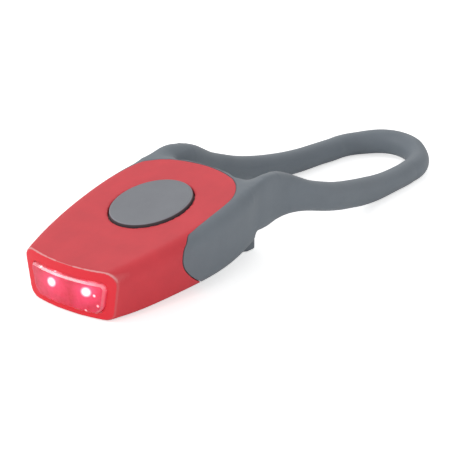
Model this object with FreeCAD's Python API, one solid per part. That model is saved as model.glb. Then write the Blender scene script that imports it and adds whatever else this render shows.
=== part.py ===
"""Bike safety light: a silicone body with two red LEDs and a looped stretch strap.

The light lies on a flat surface as it does on a shelf.  +X runs from the lens to the
strap's tip, +Y is the light's left side and +Z is up.  The origin is the centre of the
footprint, at floor height.  All sizes are millimetres.

Three frames are used.  The floor frame is the one above.  The base frame is the light's
own: its z = 0 is the flat underside and x = 0 the corners of the lens opening.  The roof
frame has z = 0 on the top face, because the button and the board lie parallel to it.
"""
import FreeCAD, Part
import math
import os

V = FreeCAD.Vector

# Outer body, in the base frame
BODY_HALF_WIDTH = 15.4        # widest half width
BODY_WIDEST_X = 26.0          # where it is widest
SIDE_BOW_RADIUS = 90.0        # plan curve of each side, before its widest place
SIDE_REAR_RADIUS = 45.0       # and behind it
FRONT_HEIGHT = 9.9            # height at the lens opening
ROOF_SLOPE = 4.3              # degrees that the top rises towards the strap
SIDE_TAPER = 1.5              # each side leans in towards the underside
TOP_EDGE_RADIUS = 2.5
LOW_EDGE_RADIUS = 1.5
LOW_EDGE_GROWTH = 0.2         # how it grows, per mm, behind the widest place
LEAST_EDGE_RADIUS = 0.4
BODY_REAR_X = 46.0            # end of the body form, behind the part that is used
NOSE_BULGE = 1.9              # how far the middle of the front stands out
NOSE_RADIUS = 32.8            # plan curve of the front
BODY_TILT = 5.1               # degrees that the body leans up onto its hook

# Silicone skin and its two colours
SKIN = 1.2                    # wall of the sleeve
FRONT_LIP = 1.2               # front wall of the sleeve, round the window
CHEEK_FRONT_X = 14.6          # foremost point of the grey cheek
CHEEK_Z = 8.2                 # height of that point
CHEEK_RADIUS = 7.0            # rounding of the cheek's front
TONGUE_TIP_X = 39.0           # rear end of the red top
TONGUE_EDGE = [               # x and distance in from the widest side, along the red top
    (14.7, 0.8),
    (15.1, 1.1),
    (16.2, 1.5),
    (18.1, 2.0),
    (21.6, 2.5),
    (26.0, 2.95),
    (32.4, 3.5),
    (35.4, 4.8),
    (37.1, 6.8),
    (38.4, 10.0),
]

# Capsule that carries the electronics
SLEEVE_CLEARANCE = 0.1        # between sleeve and capsule, and lens
CAPSULE_WALL = 0.8
CAPSULE_FRONT_X = 3.6
CAPSULE_REAR_X = 35.2
PARTING_Z = 5.2               # where the two halves meet
LIP_HEIGHT = 0.8              # inner lip of the lower half
LIP_CLEARANCE = 0.05

# Lens, seal and reflector
LENS_PROUD = 0.5              # how far the window stands out of the sleeve
LENS_WALL = 1.2
LENS_FRONT_WALL = 1.9
LENS_BEVEL = 0.35
WINDOW_TOP_Z = 7.4
WINDOW_LOW_Z = 1.3
WINDOW_TOP_HALF = 9.1
WINDOW_LOW_HALF = 7.9
WINDOW_TOP_RADIUS = 1.0
WINDOW_LOW_RADIUS = 2.2
LENS_REAR_X = 3.0
REFLECTOR_FRONT_X = 0.9
REFLECTOR_REAR_X = 2.8
REFLECTOR_CLEARANCE = 0.1
BOWL_RADIUS = 2.5             # mouth of each reflector bowl
BOWL_FLOOR = 0.4              # plate left behind the bowls

# LEDs
LED_HALF_SPACING = 4.15
LED_Z = 4.9
LED_RADIUS = 1.5
LED_FLANGE_RADIUS = 1.9
LED_FLANGE = 0.9
LED_LENGTH = 5.2
LED_TIP_GAP = 0.2
LED_CLEARANCE = 0.1
LEAD_SIZE = 0.45
LEAD_HALF_PITCH = 1.27
LEAD_STANDOFF = 2.6           # run of a lead before it turns up

# Board, in the roof frame
BOARD_THICKNESS = 0.8
BOARD_FRONT_X = 5.2
BOARD_REAR_X = 33.9
BOARD_HALF_WIDTH = 9.6
BOARD_CORNER = 1.5
BOARD_NARROWING = 1.2         # how much less half width it has at the front
BOARD_HEADROOM = 1.7          # from the board's top to the capsule's roof

# Button and switch, in the roof frame
BUTTON_X = 22.8
BUTTON_HALF_LENGTH = 8.9
BUTTON_HALF_WIDTH = 7.2
BUTTON_PROUD = 0.6
BUTTON_DEPTH = 0.5            # how far the pad reaches into the sleeve
BUTTON_EDGE = 0.35
BUTTON_CLEARANCE = 0.12
BUTTON_TRAVEL = 0.6
POST_RADIUS = 1.6
POST_CLEARANCE = 0.25
SWITCH_HALF = 2.6
SWITCH_BASE_HEIGHT = 0.7
SWITCH_FRAME_THICKNESS = 0.3
SWITCH_LEG_HALF = 1.2
SWITCH_WELL_RADIUS = 1.9
SWITCH_WELL_DEPTH = 0.5
DOME_THICKNESS = 0.15
DOME_RADIUS = 1.8
PLUNGER_RADIUS = 1.1
PLUNGER_FLANGE_RADIUS = 1.5
PLUNGER_FLANGE = 0.1
PLUNGER_HEIGHT = 1.5          # top of the plunger above the board
PLUNGER_CLEARANCE = 0.08
PLUNGER_TRAVEL = 0.2
PRESS_GAP_LEFT = 0.05         # between post and plunger when both are fully pressed

# Small parts on the board
CHIP_X = 12.6
CHIP_LENGTH = 4.9
CHIP_WIDTH = 3.9
CHIP_HEIGHT = 1.3
CHIP_LEG_PITCH = 1.27
CHIP_LEG_REACH = 1.0
CHIP_LEG_WIDTH = 0.4
CHIP_LEG_THICKNESS = 0.25
CHIP_LEGS = 4                 # on each side
CHIP_STANDOFF = 0.15
CHIP_DRAFT = 0.2
RESISTOR_SIZE = (2.0, 1.2, 0.5)
SMALL_PART_EDGE = 0.15
RESISTOR_PLACES = [(16.8, 6.4), (16.8, -6.4), (8.4, 0.0)]
CAPACITOR_SIZE = (2.0, 1.3, 1.0)
CAPACITOR_PLACE = (29.4, 5.4)

# Posts and screws that hold the board
POST_PLACES = [(11.0, 8.0), (11.0, -8.0), (32.0, 8.1), (32.0, -8.1)]
BOSS_RADIUS = 1.5
SCREW_RADIUS = 0.6
SCREW_CLEARANCE = 0.03
SCREW_HEAD_RADIUS = 1.2
SCREW_HEAD = 0.7
SCREW_LENGTH = 3.0            # depth of the holes below the board
SCREW_END_GAP = 0.4           # left free at the bottom of each hole
SCREW_HEAD_EDGE = 0.3
SCREW_SLOT = 0.3

# Coin cell and its contacts, in the base frame
CELL_X = 23.0
CELL_RADIUS = 10.0
CELL_HEIGHT = 3.2
CELL_CAP_RADIUS = 8.5
CELL_CAP_HEIGHT = 0.6
CELL_GASKET = 0.5
CELL_CLEARANCE = 0.03
CELL_EDGE = 0.5
CELL_CAP_PROUD = 0.25         # how far the cap stands below the can
CELL_GASKET_LOW = 0.12
CONTACT_THICKNESS = 0.3
CONTACT_BUMP = 0.2
CONTACT_WIDTH = 3.0
CONTACT_PAST_CELL = 1.3       # how far in front of the cell the lower strip turns up
CONTACT_TAIL = 4.0            # how far behind the cell's centre it ends
BUMP_RADII = (1.4, 0.8)
CLIP_REAR = 9.4               # clip's places along x, behind the cell's centre
CLIP_BEND = 5.2
CLIP_BEND_LENGTH = 1.0
CLIP_TOUCH = -0.6
CLIP_TOUCH_LENGTH = 0.8
CLIP_TIP = -2.4
CLIP_TIP_LIFT = 0.45
CUP_CLEARANCE = 0.2
CUP_WALL = 0.8
CUP_HEIGHT = 2.4

# Strap: x, distance of the centre in from the body's widest side, lowest z and highest z
# of each arm section, in the floor frame
ARM_SECTIONS = [
    (34.5, 4.1, 6.0, 15.0),
    (37.0, 4.1, 6.3, 16.2),
    (40.0, 4.3, 6.6, 16.8),
    (44.0, 4.45, 7.1, 16.2),
    (48.0, 4.0, 6.9, 14.6),
    (53.5, 3.4, 5.5, 11.7),
    (57.0, 3.35, 4.5, 10.2),
    (60.5, 3.45, 3.6, 8.8),
    (66.0, 3.9, 2.3, 7.2),
    (73.0, 4.65, 0.8, 5.7),
    (79.0, 5.2, 0.2, 4.85),
    (84.0, 5.6, 0.05, 4.5),
    (87.7, 6.1, 0.0, 4.4),
]
ARM_HALF_THICKNESS = 2.15
ARM_LEAST_FLAT = 0.1
BEND_HALF_LENGTH = 3.5
BEND_PLACES = [57.0, 69.5, 82.0]

# Rear web and hook that the strap's loop is pulled onto, in the floor frame
CHEEK_REAR_X = 36.7           # rear face of the cheeks, below the arms
WEB_INSIDE_X = 36.0
WEB_BITE = 0.15               # how far it reaches into each arm
WEB_TOP_X = 38.4              # rear of the web at the height of the roof
WEB_TOP_Z = 17.0
WEB_HOLLOW = (39.9, 11.2)     # point on the web's concave rear
WEB_LOW_Z = 6.6               # where the web meets the hook's rear face
WEB_CORNER_Z = 9.0            # where its lower corners begin to narrow to the hook
WEB_PLAN_RADIUS = 30.0        # plan curve of its rear, along the red top's edge
WEB_FILL_DEPTH = 2.3          # corner fill between web and arm, across the light
WEB_FILL_X = 39.5             # and its rearmost point, on the arm
HOOK_REAR_X = 43.0
HOOK_TIP_X = 36.2
HOOK_POST = 2.8
HOOK_LIP = 1.3
HOOK_HALF_WIDTH = 7.6
HOOK_LIP_HALF_WIDTH = 7.2
HOOK_EDGE = 0.8
HOOK_LIP_CHAMFER = 0.4
HOOK_LIP_BITE = 0.5           # how far the lip reaches into the post
THROAT_TOP_Z = 5.6

FAR = 60.0                    # larger than the light, for cutting tools
PAST = 1.0                    # how far a cutting tool runs past what it cuts
TINY = 0.01                   # for telling flat edges from others
LOFT_STEP = 8.0               # longest part of the body form between two sections


def half_width(x):
    """Half width of the outer body at x, on its bowed side."""
    radius = SIDE_BOW_RADIUS if x < BODY_WIDEST_X else SIDE_REAR_RADIUS
    return BODY_HALF_WIDTH - radius + math.sqrt(radius ** 2 - (x - BODY_WIDEST_X) ** 2)


def roof_height(x):
    """Height of the top face over the underside at x."""
    return FRONT_HEIGHT + x * math.tan(math.radians(ROOF_SLOPE))


def nose_x(y):
    """Where the front face lies at y."""
    return NOSE_RADIUS - NOSE_BULGE - math.sqrt(NOSE_RADIUS ** 2 - y ** 2)


def rounded_wire(corners, radii, place):
    """Closed wire through 2-D corners, each rounded; place maps (u, v) to a point."""
    count = len(corners)
    ends = []
    for i in range(count):
        here = corners[i]
        before, after = corners[i - 1], corners[(i + 1) % count]
        ua = (before[0] - here[0], before[1] - here[1])
        ub = (after[0] - here[0], after[1] - here[1])
        la, lb = math.hypot(*ua), math.hypot(*ub)
        ua = (ua[0] / la, ua[1] / la)
        ub = (ub[0] / lb, ub[1] / lb)
        half_angle = math.acos(ua[0] * ub[0] + ua[1] * ub[1]) / 2
        reach = radii[i] / math.tan(half_angle)
        middle = (ua[0] + ub[0], ua[1] + ub[1])
        length = math.hypot(*middle)
        depth = radii[i] / math.sin(half_angle) - radii[i]
        ends.append((
            (here[0] + ua[0] * reach, here[1] + ua[1] * reach),
            (here[0] + middle[0] / length * depth, here[1] + middle[1] / length * depth),
            (here[0] + ub[0] * reach, here[1] + ub[1] * reach),
        ))
    edges = []
    for i in range(count):
        start, through, end = ends[i]
        edges.append(Part.Arc(place(*start), place(*through), place(*end)).toShape())
        edges.append(Part.makeLine(place(*end), place(*ends[(i + 1) % count][0])))
    return Part.Wire(edges)


def body_wire(x, inset):
    """Section of the body at x, drawn in by inset all round."""
    top, low = roof_height(x) - inset, inset
    wide = half_width(x) - inset
    narrow = wide - SIDE_TAPER
    high_radius = max(TOP_EDGE_RADIUS - inset, LEAST_EDGE_RADIUS)
    growth = LOW_EDGE_GROWTH * max(0, x - BODY_WIDEST_X)
    low_radius = max(LOW_EDGE_RADIUS + growth - inset, LEAST_EDGE_RADIUS)
    corners = [(narrow, low), (wide, top), (-wide, top), (-narrow, low)]
    radii = [low_radius, high_radius, high_radius, low_radius]
    return rounded_wire(corners, radii, lambda y, z: V(x, y, z))


def block(inset, start, end):
    """Body form, drawn in by inset, from start to end along x."""
    steps = max(2, int(math.ceil((end - start) / LOFT_STEP)))
    wires = [body_wire(start + (end - start) * i / steps, inset) for i in range(steps + 1)]
    return Part.makeLoft(wires, True, False)


def before_nose(offset):
    """Space in front of the curved front face, moved back by offset."""
    centre = NOSE_RADIUS - NOSE_BULGE
    slab = Part.makeBox(centre + FAR, FAR, FAR, V(-FAR, -FAR / 2, -FAR / 2))
    barrel = Part.makeCylinder(NOSE_RADIUS - offset, FAR, V(centre, 0, -FAR / 2))
    return slab.cut(barrel)


def nosed_block(inset, offset, end):
    """Body form whose front is the curved front face, moved back by offset."""
    start = -NOSE_BULGE - LENS_PROUD - PAST
    return block(inset, start, end).cut(before_nose(offset))


def to_base(shape):
    """Move a shape from the roof frame to the base frame."""
    moved = shape.copy()
    moved.rotate(V(0, 0, 0), V(0, 1, 0), -ROOF_SLOPE)
    moved.translate(V(0, 0, FRONT_HEIGHT))
    return moved


def to_floor(shape):
    """Move a shape from the base frame to the floor frame."""
    moved = shape.copy()
    moved.rotate(V(0, 0, 0), V(0, 1, 0), -BODY_TILT)
    moved.translate(V(0, 0, NOSE_BULGE * math.sin(math.radians(BODY_TILT))))
    return moved


def box(x0, x1, y0, y1, z0, z1):
    """Box between two corners."""
    return Part.makeBox(x1 - x0, y1 - y0, z1 - z0, V(x0, y0, z0))


def prism_y(points, half):
    """Closed outline in the XZ plane, extruded to both sides."""
    ring = [V(x, -half, z) for x, z in points]
    face = Part.Face(Part.makePolygon(ring + ring[:1]))
    return face.extrude(V(0, 2 * half, 0))


def oval(x, half_length, half_width_y, z0, z1):
    """Upright oval prism."""
    ellipse = Part.Ellipse(V(x, 0, z0), half_length, half_width_y).toShape()
    return Part.Face(Part.Wire([ellipse])).extrude(V(0, 0, z1 - z0))


def drum(x, y, radius, z0, z1):
    """Upright cylinder between two heights."""
    return Part.makeCylinder(radius, z1 - z0, V(x, y, z0))


# Heights that several pieces share
CAPSULE_INSET = SKIN + SLEEVE_CLEARANCE
ROOM_INSET = CAPSULE_INSET + CAPSULE_WALL
BOARD_TOP = -ROOM_INSET - BOARD_HEADROOM
BOARD_LOW = BOARD_TOP - BOARD_THICKNESS
ROOM_REAR_X = CAPSULE_REAR_X - CAPSULE_WALL
CAVITY_REAR_X = CAPSULE_REAR_X + SLEEVE_CLEARANCE
CELL_LOW = ROOM_INSET + CONTACT_THICKNESS + CONTACT_BUMP
CELL_TOP = CELL_LOW + CELL_HEIGHT
BOARD_ABOVE = to_base(box(-FAR, FAR, -FAR, FAR, BOARD_LOW, FAR))


def tongue_outline():
    """Plan prism of the red top, from the cheeks to its rounded rear edge."""
    tip = V(TONGUE_TIP_X, 0, 0)
    edges = []
    for sign in (1, -1):
        places = [V(x, sign * (BODY_HALF_WIDTH - inset), 0) for x, inset in TONGUE_EDGE]
        curve = Part.BSplineCurve()
        curve.interpolate(places + [tip])
        shoulder = V(CHEEK_FRONT_X, sign * (BODY_HALF_WIDTH + SKIN), 0)
        edges.append(curve.toShape())
        edges.append(Part.makeLine(places[0], shoulder))
        edges.append(Part.makeLine(shoulder, V(-FAR, sign * FAR, 0)))
    edges.append(Part.makeLine(V(-FAR, FAR, 0), V(-FAR, -FAR, 0)))
    wire = Part.Wire(Part.__sortEdges__(edges))
    prism = Part.Face(wire).extrude(V(0, 0, FAR))
    prism.translate(V(0, 0, CHEEK_Z))
    return prism


def grey_region():
    """Space of the skin that belongs to the grey saddle."""
    centre_x = CHEEK_FRONT_X + CHEEK_RADIUS
    round_front = Part.makeCylinder(CHEEK_RADIUS, 2 * FAR, V(centre_x, -FAR, CHEEK_Z), V(0, 1, 0))
    behind = box(centre_x, 2 * FAR, -FAR, FAR, -FAR, FAR)
    return behind.fuse(round_front).cut(tongue_outline())


def arm_wire(x, inset, low, high, side):
    """Rounded upright section of one strap arm."""
    centre = side * (BODY_HALF_WIDTH - inset)
    half_y = ARM_HALF_THICKNESS
    half_z = max((high - low) / 2, half_y + ARM_LEAST_FLAT)
    mid = (low + high) / 2
    flat = half_z - half_y
    quarter = half_y * math.sqrt(0.5)

    def at(dy, dz):
        """Point of the section, measured from its centre."""
        return V(x, centre + dy, mid + dz)

    edges = [
        Part.makeLine(at(half_y, -flat), at(half_y, flat)),
        Part.Arc(at(half_y, flat), at(quarter, flat + quarter), at(0, half_z)).toShape(),
        Part.Arc(at(0, half_z), at(-quarter, flat + quarter), at(-half_y, flat)).toShape(),
        Part.makeLine(at(-half_y, flat), at(-half_y, -flat)),
        Part.Arc(at(-half_y, -flat), at(-quarter, -flat - quarter), at(0, -half_z)).toShape(),
        Part.Arc(at(0, -half_z), at(quarter, -flat - quarter), at(half_y, -flat)).toShape(),
    ]
    return Part.Wire(edges)


def strap_arm(side):
    """One whole arm, from inside the saddle to the start of the end loop."""
    wires = [arm_wire(*section, side) for section in ARM_SECTIONS]
    return Part.makeLoft(wires, True, False)


def strap_end():
    """Half ring that joins the two arms."""
    x = ARM_SECTIONS[-1][0]
    face = Part.Face(arm_wire(*ARM_SECTIONS[-1], -1))
    return face.revolve(V(x, 0, 0), V(0, 0, 1), 180)


ARMS = [strap_arm(1), strap_arm(-1)]
WEB_HALF_WIDTH = BODY_HALF_WIDTH - ARM_SECTIONS[1][1] - ARM_HALF_THICKNESS + WEB_BITE


def arm_slice(start, end):
    """Both arms between two x positions, as separate solids."""
    slab = box(start, end, -FAR, FAR, -FAR, FAR)
    return Part.makeCompound([arm.common(slab) for arm in ARMS])


def window(grow, end):
    """Prism along x with the outline of the lens's window, grown all round."""
    low_half, top_half = WINDOW_LOW_HALF + grow, WINDOW_TOP_HALF + grow
    low, top = WINDOW_LOW_Z - grow, WINDOW_TOP_Z + grow
    corners = [(low_half, low), (top_half, top), (-top_half, top), (-low_half, low)]
    low_radius, top_radius = WINDOW_LOW_RADIUS + grow, WINDOW_TOP_RADIUS + grow
    radii = [low_radius, top_radius, top_radius, low_radius]
    start = -NOSE_BULGE - LENS_PROUD - PAST
    wire = rounded_wire(corners, radii, lambda y, z: V(start, y, z))
    return Part.Face(wire).extrude(V(end - start, 0, 0))


def make_skin():
    """Whole silicone skin of the body, before it is parted into red and grey."""
    outer = nosed_block(0, 0, BODY_REAR_X)
    inner = block(SKIN, -NOSE_BULGE - PAST, BODY_REAR_X + PAST)
    return outer.cut(inner.cut(before_nose(FRONT_LIP))).cut(window(SLEEVE_CLEARANCE, LENS_REAR_X))


def make_cover():
    """Red sleeve with the window in its front and an oval hole for the button."""
    skin = make_skin().cut(grey_region())
    hole = oval(BUTTON_X, BUTTON_HALF_LENGTH + BUTTON_CLEARANCE,
                BUTTON_HALF_WIDTH + BUTTON_CLEARANCE, -2 * SKIN, SKIN)
    return to_floor(skin.cut(to_base(hole)))


def web_solid():
    """Wall between the arms, hollowed for the bar that the light is strapped to."""
    def at(x, z):
        """Point of the web's profile."""
        return V(x, 0, z)

    axis_x = WEB_TOP_X - WEB_PLAN_RADIUS
    hollow = Part.Arc(at(WEB_TOP_X, WEB_TOP_Z), at(*WEB_HOLLOW), at(HOOK_REAR_X, WEB_LOW_Z))
    ring = [at(HOOK_REAR_X, WEB_LOW_Z), at(HOOK_REAR_X, THROAT_TOP_Z), at(axis_x, THROAT_TOP_Z),
            at(axis_x, WEB_TOP_Z), at(WEB_TOP_X, WEB_TOP_Z)]
    edges = [Part.makeLine(a, b) for a, b in zip(ring, ring[1:])]
    profile = Part.Face(Part.Wire([hollow.toShape()] + edges))
    web = profile.revolve(at(axis_x, 0), V(0, 0, 1), 360)
    web = web.common(box(WEB_INSIDE_X, FAR, -WEB_HALF_WIDTH, WEB_HALF_WIDTH, 0, FAR))
    start = WEB_HALF_WIDTH - WEB_FILL_DEPTH
    for side in (1, -1):
        fill = [V(WEB_INSIDE_X, side * start, WEB_CORNER_Z),
                V(axis_x + math.sqrt(WEB_PLAN_RADIUS ** 2 - start ** 2), side * start, WEB_CORNER_Z),
                V(WEB_FILL_X, side * WEB_HALF_WIDTH, WEB_CORNER_Z),
                V(WEB_INSIDE_X, side * WEB_HALF_WIDTH, WEB_CORNER_Z)]
        plan = Part.Face(Part.makePolygon(fill + fill[:1]))
        web = web.fuse(plan.extrude(V(0, 0, WEB_TOP_Z - WEB_CORNER_Z)))
        low = V(0, side * HOOK_HALF_WIDTH, THROAT_TOP_Z)
        high = V(0, side * (WEB_HALF_WIDTH + SKIN), WEB_CORNER_Z)
        corner = Part.makePolygon([low, high, V(0, high.y, low.z), low])
        web = web.cut(Part.Face(corner).extrude(V(FAR, 0, 0)))
    return web


def hook_solid():
    """Hook under the rear, open towards the lens."""
    post_x = HOOK_REAR_X - HOOK_POST
    post = box(post_x, HOOK_REAR_X, -HOOK_HALF_WIDTH, HOOK_HALF_WIDTH, 0, WEB_LOW_Z)
    rear = [edge for edge in post.Edges if edge.BoundBox.XMin > HOOK_REAR_X - TINY]
    edges = [edge for edge in rear if edge.BoundBox.ZMin < TINY]
    post = post.makeFillet(HOOK_EDGE, edges)
    root, nib = post_x + HOOK_LIP_BITE, HOOK_TIP_X + HOOK_LIP_CHAMFER
    lip_points = [(root, 0), (nib, 0), (HOOK_TIP_X, HOOK_LIP_CHAMFER), (nib, HOOK_LIP), (root, HOOK_LIP)]
    return post.fuse(prism_y(lip_points, HOOK_LIP_HALF_WIDTH))


def make_saddle():
    """Grey rear of the body: cheeks, rear block, roots of the arms and hook."""
    skin = make_skin()
    cheeks = skin.common(grey_region())
    core = block(SKIN, CAVITY_REAR_X, BODY_REAR_X)
    rear = box(CHEEK_REAR_X, FAR, -FAR, FAR, -FAR, FAR)
    saddle = to_floor(cheeks.fuse(core)).cut(rear)
    half = WEB_HALF_WIDTH - WEB_BITE
    throat = box(HOOK_TIP_X - HOOK_EDGE, FAR, -half, half, -FAR, THROAT_TOP_Z)
    behind_web = box(WEB_INSIDE_X, FAR, -half, half, -FAR, FAR)
    web = web_solid().common(to_floor(block(0, 0, BODY_REAR_X)))
    saddle = saddle.cut(throat).cut(behind_web).fuse(web).fuse(hook_solid())
    root_end = BEND_PLACES[0] - BEND_HALF_LENGTH
    slab = box(CAVITY_REAR_X, root_end, -FAR, FAR, -FAR, FAR)
    for arm in ARMS:
        saddle = saddle.fuse(arm.common(slab))
    tongue = to_floor(tongue_outline().common(skin))
    return saddle.cut(tongue)


def make_lens():
    """Clear red cap behind the sleeve's front, whose window stands out through it."""
    face = window(0, LENS_REAR_X).cut(before_nose(-LENS_PROUD))
    front = [edge for edge in face.Edges if edge.BoundBox.XMax < LENS_REAR_X - PAST]
    face = face.makeChamfer(LENS_BEVEL, front)
    flange = nosed_block(CAPSULE_INSET, FRONT_LIP + SLEEVE_CLEARANCE, LENS_REAR_X)
    hollow = nosed_block(CAPSULE_INSET + LENS_WALL, LENS_FRONT_WALL - LENS_PROUD, LENS_REAR_X + PAST)
    return flange.fuse(face).cut(hollow)


def make_lens_seal():
    """Flat ring between lens and capsule."""
    ring = block(CAPSULE_INSET, LENS_REAR_X, CAPSULE_FRONT_X)
    return ring.cut(block(ROOM_INSET, LENS_REAR_X - PAST, CAPSULE_FRONT_X + PAST))


def led_axis_solid(side, radius_0, radius_1, x0, x1):
    """Cylinder or cone along an LED's axis."""
    spot, along = V(x0, side * LED_HALF_SPACING, LED_Z), V(1, 0, 0)
    if radius_0 == radius_1:
        return Part.makeCylinder(radius_0, x1 - x0, spot, along)
    return Part.makeCone(radius_0, radius_1, x1 - x0, spot, along)


def led_tip_x():
    """Foremost point of each LED, just behind the lens."""
    return nose_x(LED_HALF_SPACING) + LENS_FRONT_WALL - LENS_PROUD + LED_TIP_GAP


def make_reflector():
    """Bright plate in the lens, with a bowl round each LED."""
    inset = CAPSULE_INSET + LENS_WALL + REFLECTOR_CLEARANCE
    plate = block(inset, REFLECTOR_FRONT_X, REFLECTOR_REAR_X)
    throat = LED_RADIUS + LED_CLEARANCE
    for side in (1, -1):
        bowl = led_axis_solid(side, BOWL_RADIUS, throat, REFLECTOR_FRONT_X, REFLECTOR_REAR_X - BOWL_FLOOR)
        bore = led_axis_solid(side, throat, throat, REFLECTOR_FRONT_X, REFLECTOR_REAR_X + PAST)
        plate = plate.cut(bowl).cut(bore)
    return plate


def make_led(side):
    """Round LED with its domed tip and its flange."""
    tip = led_tip_x()
    base = tip + LED_LENGTH
    stem = led_axis_solid(side, LED_RADIUS, LED_RADIUS, tip + LED_RADIUS, base)
    dome = Part.makeSphere(LED_RADIUS, V(tip + LED_RADIUS, side * LED_HALF_SPACING, LED_Z))
    flange = led_axis_solid(side, LED_FLANGE_RADIUS, LED_FLANGE_RADIUS, base - LED_FLANGE, base)
    return stem.fuse(dome).fuse(flange)


def make_leads():
    """Two bent leads from each LED up to the board."""
    start = led_tip_x() + LED_LENGTH
    half = LEAD_SIZE / 2
    wires = []
    for side in (1, -1):
        for pitch in (LEAD_HALF_PITCH, -LEAD_HALF_PITCH):
            y = side * LED_HALF_SPACING + pitch
            turn = start + LEAD_STANDOFF
            run = box(start, turn, y - half, y + half, LED_Z - half, LED_Z + half)
            rise = box(turn - LEAD_SIZE, turn, y - half, y + half, LED_Z - half, FRONT_HEIGHT)
            wires.append(run.fuse(rise.cut(BOARD_ABOVE)))
    return Part.makeCompound(wires)


def capsule_shell():
    """Whole hollow capsule before it is split, open towards the lens."""
    outer = block(CAPSULE_INSET, CAPSULE_FRONT_X, CAPSULE_REAR_X)
    room = block(ROOM_INSET, CAPSULE_FRONT_X - PAST, ROOM_REAR_X)
    return outer.cut(room)


def lip_ring(inset_out, height):
    """Inner ring at the parting line, from inset_out to the inner wall."""
    ring = block(inset_out, CAPSULE_FRONT_X, CAPSULE_REAR_X - CAPSULE_WALL / 2)
    ring = ring.cut(block(ROOM_INSET, CAPSULE_FRONT_X - PAST, ROOM_REAR_X))
    return ring.common(box(-FAR, FAR, -FAR, FAR, PARTING_Z, PARTING_Z + height))


def make_capsule_lower():
    """Lower half with the cell's cup and the posts that carry the board."""
    lower = capsule_shell().common(box(-FAR, FAR, -FAR, FAR, -FAR, PARTING_Z))
    lower = lower.fuse(lip_ring(CAPSULE_INSET + CAPSULE_WALL / 2 + LIP_CLEARANCE, LIP_HEIGHT))
    floor = ROOM_INSET - CAPSULE_WALL / 2
    cup_out = CELL_RADIUS + CUP_CLEARANCE + CUP_WALL
    cup = drum(CELL_X, 0, cup_out, floor, ROOM_INSET + CUP_HEIGHT)
    cup = cup.cut(drum(CELL_X, 0, cup_out - CUP_WALL, 0, FAR))
    gap = CONTACT_WIDTH / 2 + CUP_CLEARANCE
    cup = cup.cut(box(-FAR, CELL_X, -gap, gap, 0, FAR))
    room = block(CAPSULE_INSET + CAPSULE_WALL / 2, CAPSULE_FRONT_X, ROOM_REAR_X + CAPSULE_WALL / 2)
    lower = lower.fuse(cup.common(room))
    for x, y in POST_PLACES:
        post = drum(x, y, BOSS_RADIUS, floor, FRONT_HEIGHT + FAR).cut(BOARD_ABOVE)
        lower = lower.fuse(post.common(room))
    for x, y in POST_PLACES:
        hole = drum(x, y, SCREW_RADIUS + SCREW_CLEARANCE, BOARD_LOW - SCREW_LENGTH, FAR)
        lower = lower.cut(to_base(hole))
    return lower


def make_capsule_upper():
    """Upper half with the hole for the button's post."""
    upper = capsule_shell().common(box(-FAR, FAR, -FAR, FAR, PARTING_Z, FAR))
    upper = upper.cut(lip_ring(CAPSULE_INSET + CAPSULE_WALL / 2, LIP_HEIGHT + LIP_CLEARANCE))
    hole = drum(BUTTON_X, 0, POST_RADIUS + POST_CLEARANCE, -ROOM_INSET - PAST, FAR)
    return upper.cut(to_base(hole))


def make_board():
    """Circuit board, in the roof frame."""
    front_half = BOARD_HALF_WIDTH - BOARD_NARROWING
    corners = [(BOARD_REAR_X, -BOARD_HALF_WIDTH), (BOARD_REAR_X, BOARD_HALF_WIDTH),
               (BOARD_FRONT_X, front_half), (BOARD_FRONT_X, -front_half)]
    wire = rounded_wire(corners, [BOARD_CORNER] * 4, lambda x, y: V(x, y, BOARD_LOW))
    board = Part.Face(wire).extrude(V(0, 0, BOARD_THICKNESS))
    for x, y in POST_PLACES:
        board = board.cut(drum(x, y, SCREW_RADIUS + POST_CLEARANCE, BOARD_LOW - PAST, FAR))
    return board


def make_screws():
    """Screws through the board into the posts, in the roof frame."""
    screws = []
    for x, y in POST_PLACES:
        head = drum(x, y, SCREW_HEAD_RADIUS, BOARD_TOP, BOARD_TOP + SCREW_HEAD)
        head = head.makeFillet(SCREW_HEAD_EDGE, [head.Edges[0]])
        shank = drum(x, y, SCREW_RADIUS, BOARD_LOW - SCREW_LENGTH + SCREW_END_GAP, BOARD_TOP + SCREW_HEAD / 2)
        slot = box(x - FAR, x + FAR, y - SCREW_SLOT / 2, y + SCREW_SLOT / 2,
                   BOARD_TOP + SCREW_HEAD / 2, FAR)
        screws.append(head.fuse(shank).cut(slot))
    return Part.makeCompound(screws)


def make_button():
    """Grey oval pad with the post that reaches the switch, in the roof frame."""
    pad = oval(BUTTON_X, BUTTON_HALF_LENGTH, BUTTON_HALF_WIDTH, -BUTTON_DEPTH, BUTTON_PROUD)
    rim = [edge for edge in pad.Edges if edge.BoundBox.ZMin > BUTTON_PROUD - TINY]
    pad = pad.makeFillet(BUTTON_EDGE, rim)
    post_low = BOARD_TOP + PLUNGER_HEIGHT + PRESS_GAP_LEFT + BUTTON_TRAVEL - PLUNGER_TRAVEL
    return pad.fuse(drum(BUTTON_X, 0, POST_RADIUS, post_low, 0))


def make_switch_base():
    """Plastic base of the switch, with the well for its dome."""
    top = BOARD_TOP + SWITCH_BASE_HEIGHT
    base = box(BUTTON_X - SWITCH_HALF, BUTTON_X + SWITCH_HALF, -SWITCH_HALF, SWITCH_HALF,
               BOARD_TOP, top)
    return base.cut(drum(BUTTON_X, 0, SWITCH_WELL_RADIUS, top - SWITCH_WELL_DEPTH, FAR))


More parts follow.
